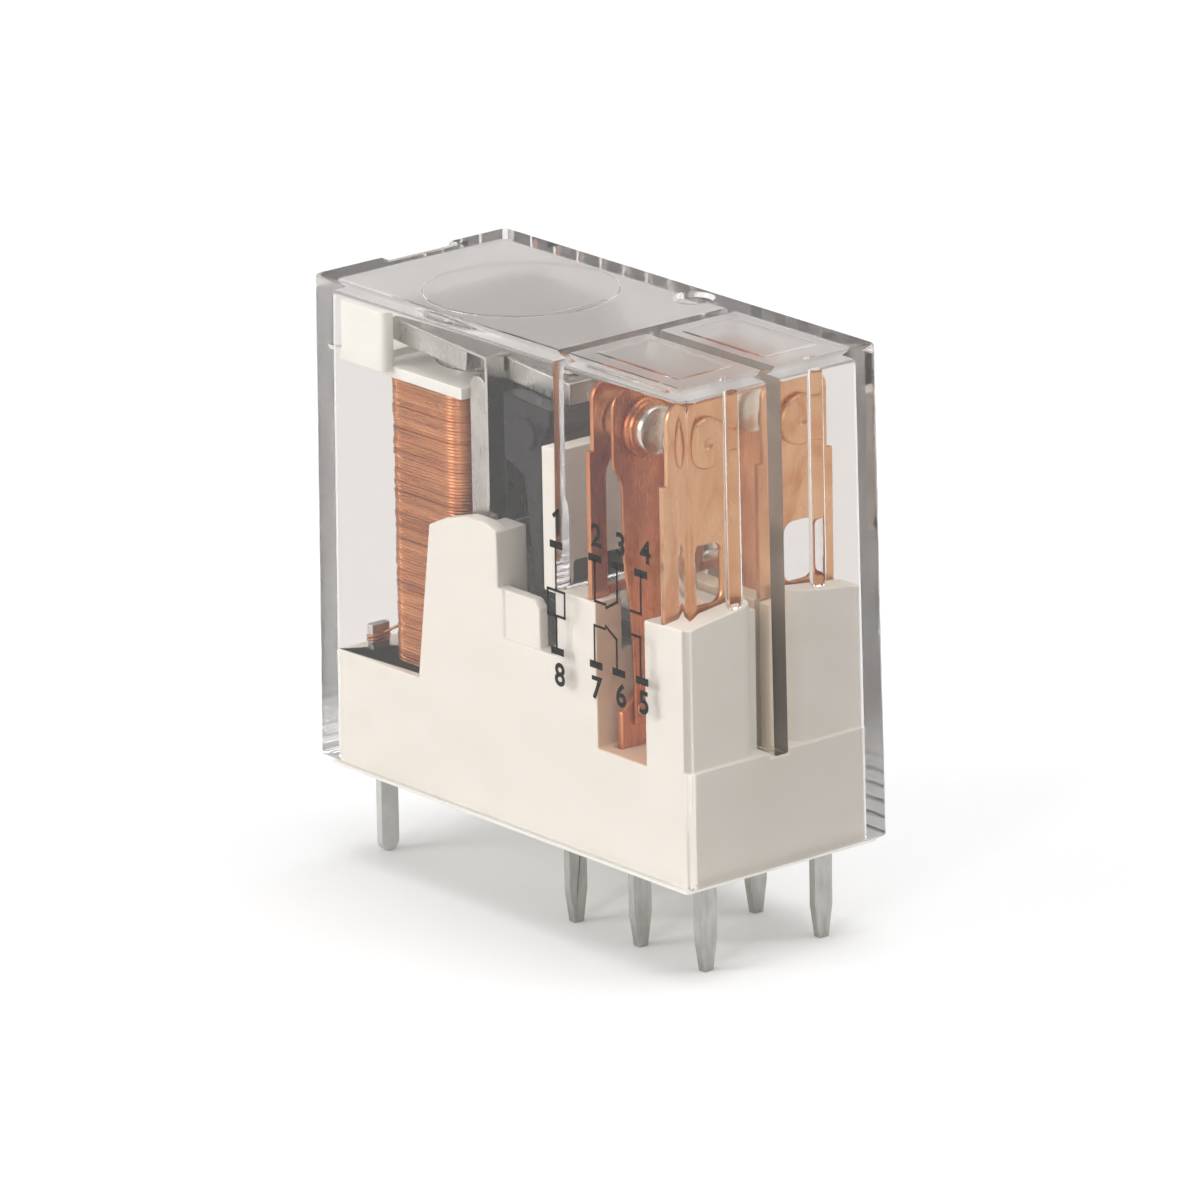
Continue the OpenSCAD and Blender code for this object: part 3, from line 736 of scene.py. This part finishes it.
def set_rivets():
    """Two steel rivets through the armature, with domed and dimpled heads."""
    tilt = Matrix.Rotation(math.radians(STROKE), 4, "Y")
    top = 1.65                 # the armature's upper face, above the pivot
    for i, y in enumerate(RIVETS_Y):
        bm = lathe([(-1.2, 0), (-1.2, 0.5), (top, 0.5), (top + 0.02, 0.78), (top + 0.1, 0.85),
                    (top + 0.2, 0.8), (top + 0.29, 0.6), (top + 0.32, 0.35), (top + 0.24, 0.2),
                    (top + 0.22, 0)], (3.9, y, 0), "Z", 40)
        bmesh.ops.transform(bm, matrix=Matrix.Translation(PIVOT) @ tilt, verts=bm.verts)
        finished(f"actuator_rivet_{i + 1}", bm, SPRING, "rocker",
                 ("actuator_rivets",))


set_rivets()


# ---------- contacts ----------

def contacts():
    # left and right faces of the fixed plates and of the moving spring
    nc_left, nc_right = 6.0, 6.3
    blade_left, blade_mid, blade_right = 7.85, 7.95, 8.05
    no_left, no_right = 11.55, 11.85
    collar = blade_right + 0.55
    head, stem = 1.3, 0.6
    for side, nc, com, no in ((-1, 2, 3, 4), (1, 7, 6, 5)):
        centre = (0, side * CONTACT_Y, CONTACT_Z)
        flex = f"contact_spring_{com}"
        # closed-side and common terminals take the copper with painted shade, open-side ones the
        # copper with painted light
        refined(f"nc_terminal_{nc}", PAINTED_SHADE_COPPER, width=0.045)
        refined(f"no_terminal_{no}", PAINTED_LIT_COPPER, width=0.045)
        refined(f"com_terminal_{com}", PAINTED_SHADE_COPPER, width=0.06)
        refined(f"moving_spring_{com}", COPPER, flex, width=0.035)
        # fixed contact of the closed side: silver face, riveted tail
        low, high = limits(f"nc_contact_{nc}")
        x0, x1 = nc_right + GAP, high.x
        bm = lathe([(x0, 0), (x0, 1.1), (x0 + 0.08, 1.28), (x0 + 0.23, head), (x1 - 0.12, head),
                    (x1 - 0.03, 1.22), (x1 - 0.005, 1.05), (x1, 0)], centre)
        finished(f"nc_silver_{nc}", bm, SILVER, nodes=(f"nc_contact_{nc}",))
        bm = lathe([(low.x, 0), (low.x, 0.95), (low.x + 0.08, 1.12), (low.x + 0.2, 1.15),
                    (nc_left - GAP, 1.15), (nc_left - GAP, stem), (x0, stem), (x0, 0)], centre)
        finished(f"nc_tail_{nc}", bm, PAINTED_SHADE_COPPER, nodes=(f"nc_contact_{nc}",))
        # fixed contact of the open side: domed silver face, copper tail behind the plate
        low, high = limits(f"no_contact_{no}")
        dome = [(low.x, 0)] + [(low.x + 0.17 * (r / 1.22) ** 2, r) for r in
                               (0.2, 0.4, 0.6, 0.8, 1.0, 1.15, 1.22)]
        x0, x1 = low.x + 0.6, high.x
        bm = lathe([*dome, (low.x + 0.28, 1.29), (low.x + 0.45, head), (x0, head), (x0, 0)],
                   centre)
        finished(f"no_silver_{no}", bm, SILVER, nodes=(f"no_contact_{no}",))
        bm = lathe([(x0, 0), (x0, 1.24), (x0 + 0.06, head), (no_left - GAP, head),
                    (no_left - GAP, stem), (no_right + GAP, stem), (no_right + GAP, head),
                    (x1 - 0.1, head), (x1 - 0.02, 1.22), (x1, 1.1), (x1 - 0.01, 0.3),
                    (x1 - 0.08, 0.2), (x1 - 0.1, 0)], centre)
        finished(f"no_tail_{no}", bm, PAINTED_LIT_COPPER, nodes=(f"no_contact_{no}",))
        # moving contact: silver on both faces, stepped copper collar between
        low, high = limits(f"moving_contact_{com}")
        node = (f"moving_contact_{com}",)
        x0, x1 = low.x, high.x
        bm = lathe([(x0, 0), (x0, 1.1), (x0 + 0.04, 1.24), (x0 + 0.12, head),
                    (blade_left - GAP, head), (blade_left - GAP, stem), (blade_mid, stem),
                    (blade_mid, 0)], centre)
        finished(f"moving_back_{com}", bm, SILVER, flex, node)
        foot = blade_right + GAP
        bm = lathe([(blade_mid, 0), (blade_mid, stem), (foot, stem), (foot, 1.5),
                    (foot + 0.03, 1.55), (foot + 0.18, 1.55), (foot + 0.27, 1.5),
                    (foot + 0.31, 1.42), (foot + 0.39, 1.42), (foot + 0.49, 1.38),
                    (collar, head), (collar + GAP, 1.2), (collar + GAP, 0)], centre)
        finished(f"moving_collar_{com}", bm, COPPER, flex, node)
        bm = lathe([(collar, 0), (collar, 1.22), (collar + 0.06, 1.25), (x1 - 0.2, 1.25),
                    (x1 - 0.07, 1.19), (x1 - 0.02, 1.06), (x1, 0.8), (x1, 0)], centre)
        finished(f"moving_silver_{com}", bm, SILVER, flex, node)
        # the two rivets of the spring's foot
        low, high = limits(f"spring_rivets_{com}")
        cap = (high.z - low.z) / 2
        for i, y in enumerate((low.y + cap, high.y - cap)):
            bm = lathe([(blade_left, 0), (blade_left, 0.2), (foot, 0.2), (foot, 0.38),
                        (foot + 0.05, cap), (foot + 0.13, 0.39), (foot + 0.2, 0.25),
                        (foot + 0.23, 0)], (0, y, low.z + cap), steps=24)
            finished(f"spring_rivet_{com}_{i + 1}", bm, COPPER, flex,
                     (f"spring_rivets_{com}",))


contacts()


# ---------- printed wiring diagram on the long face ----------

INK_T = 0.012


def on_face(x, z):
    """A printed point just outside the cover's near face, within its widest outline."""
    return Vector((x, -near_face(z) - INK_T, z))


def strokes():
    """Lines of the diagram as (points, width), in the plane of the near face."""
    thin, thick = 0.14, 0.38
    lines = []
    for x in (4.55, 7.52, 9.25, 11.02):
        for z in (15.86, 10.38):
            lines.append(([(x - 0.3, z), (x + 0.3, z)], thick))
    # the figure 1, which the font draws as a bare stick
    lines.append(([(4.42, 17.36), (4.7, 17.62), (4.7, 16.48)], 0.22))
    # coil between 1 and 8
    lines += [([(4.5, 15.75), (4.5, 13.5)], thin), ([(4.5, 12.2), (4.5, 10.45)], thin)]
    lines.append(([(3.85, 13.5), (5.15, 13.5), (5.15, 12.2), (3.85, 12.2), (3.85, 13.5)], thin))
    # upper change-over contact
    lines += [
        ([(7.5, 15.75), (7.5, 13.66), (8.3, 13.66)], thin),
        ([(9.2, 15.75), (9.2, 14.0), (8.35, 13.5)], thin),
        ([(11.0, 15.75), (11.0, 13.8), (10.2, 13.8)], thin),
    ]
    # lower change-over contact
    lines += [
        ([(7.42, 10.45), (7.42, 12.4), (8.25, 12.4)], thin),
        ([(9.12, 10.45), (9.12, 12.05), (8.3, 12.55)], thin),
        ([(10.93, 10.45), (10.93, 12.6), (10.15, 12.6)], thin),
    ]
    return lines


def ribbon(bm, points, width):
    for a, b in zip(points, points[1:]):
        a, b = Vector(a), Vector(b)
        d = (b - a).normalized() * width / 2
        n = Vector((-d.y, d.x))
        corners = [a - d + n, a - d - n, b + d - n, b + d + n]
        bm.faces.new([bm.verts.new(on_face(*c)) for c in corners])


def digit(bm, text, x, z, height):
    data = bpy.data.curves.new("digit", "FONT")
    data.body = text
    data.align_x = "CENTER"
    data.size = height * 1.37
    data.offset = 0.042
    holder = bpy.data.objects.new("digit", data)
    bpy.context.scene.collection.objects.link(holder)
    shape = holder.evaluated_get(bpy.context.evaluated_depsgraph_get()).to_mesh()
    spots = [bm.verts.new(on_face(x + v.co.x, z + v.co.y)) for v in shape.vertices]
    for p in shape.polygons:
        bm.faces.new([spots[i] for i in p.vertices])
    bpy.data.objects.remove(holder)


def diagram():
    bm = bmesh.new()
    for points, width in strokes():
        ribbon(bm, points, width)
    for text, x, z in (("2", 7.65, 16.5), ("3", 9.5, 16.45), ("4", 11.4, 16.5),
                       ("8", 4.7, 8.65), ("7", 7.53, 8.65), ("6", 9.4, 8.7), ("5", 11.15, 8.75)):
        digit(bm, text, x, z, 1.18)
    piece = finished("pin_diagram", bm, INK)
    for v in piece.data.vertices:
        v.co.y = min(v.co.y, -0.001)


diagram()


# ---------- stage, lights and camera ----------

def aim(obj, place, target):
    obj.location = place
    obj.rotation_euler = (Vector(target) - Vector(place)).to_track_quat("-Z", "Y").to_euler()


def softbox(name, place, target, size, power):
    data = bpy.data.lights.new(name, "AREA")
    data.shape = "RECTANGLE"
    data.size, data.size_y = size
    data.energy = power
    lamp = bpy.data.objects.new(name, data)
    bpy.context.scene.collection.objects.link(lamp)
    aim(lamp, place, target)


def stage():
    floor_z = cad_box[0].z
    bm = bmesh.new()
    bmesh.ops.create_circle(bm, cap_ends=True, radius=3, segments=96)
    mesh = bpy.data.meshes.new("floor")
    bm.to_mesh(mesh)
    bm.free()
    mesh.materials.append(paper("pale_floor"))
    floor = bpy.data.objects.new("floor", mesh)
    floor.location.z = floor_z
    bpy.context.scene.collection.objects.link(floor)
    world = bpy.data.worlds.new("studio")
    world.use_nodes = True
    back = world.node_tree.nodes["Background"]
    back.inputs["Color"].default_value = (0.99, 0.99, 1, 1)
    back.inputs["Strength"].default_value = 0.5
    bpy.context.scene.world = world
    centre = (0, 0, 0.012)
    softbox("key", (-0.26, -0.6, 0.24), centre, (0.34, 0.34), 1.8)
    softbox("strip", (0.27, -0.62, 0.26), centre, (0.05, 0.5), 0.7)
    softbox("overhead", (0.05, 0.1, 0.75), centre, (0.7, 0.7), 3.8)
    softbox("rim", (0.35, 0.45, 0.3), centre, (0.12, 0.4), 0.3)
    bpy.context.scene.view_settings.view_transform = "Standard"
    bpy.context.scene.view_settings.look = "None"
    # light crosses many faces of the clear cover before it leaves by an edge
    paths = bpy.context.scene.cycles
    paths.max_bounces = 48
    paths.transmission_bounces = 48
    paths.glossy_bounces = 48
    paths.transparent_max_bounces = 24


stage()


def camera():
    """The view: angles in degrees, offsets in metres, focal length in millimetres."""
    azimuth, elevation, roll = math.radians(50.59), math.radians(17.60), math.radians(-1.06)
    distance, shift_right, shift_up, lens = 0.563, 0.0002, -0.00276, 339.45
    target = Vector((0, 0, 0.0135))
    back = Vector((math.sin(azimuth) * math.cos(elevation),
                   -math.cos(azimuth) * math.cos(elevation), math.sin(elevation)))
    level = Vector((math.cos(azimuth), math.sin(azimuth), 0))
    upright = back.cross(level)
    right = math.cos(roll) * level + math.sin(roll) * upright
    up = -math.sin(roll) * level + math.cos(roll) * upright
    place = target + back * distance + right * shift_right + up * shift_up
    data = bpy.data.cameras.new("camera")
    data.lens = lens
    data.sensor_width = 36
    data.clip_start, data.clip_end = 0.02, 20
    cam = bpy.data.objects.new("camera", data)
    turn = Matrix((right, up, back)).transposed().to_4x4()
    cam.matrix_world = Matrix.Translation(place) @ turn
    bpy.context.scene.collection.objects.link(cam)
    bpy.context.scene.camera = cam


camera()
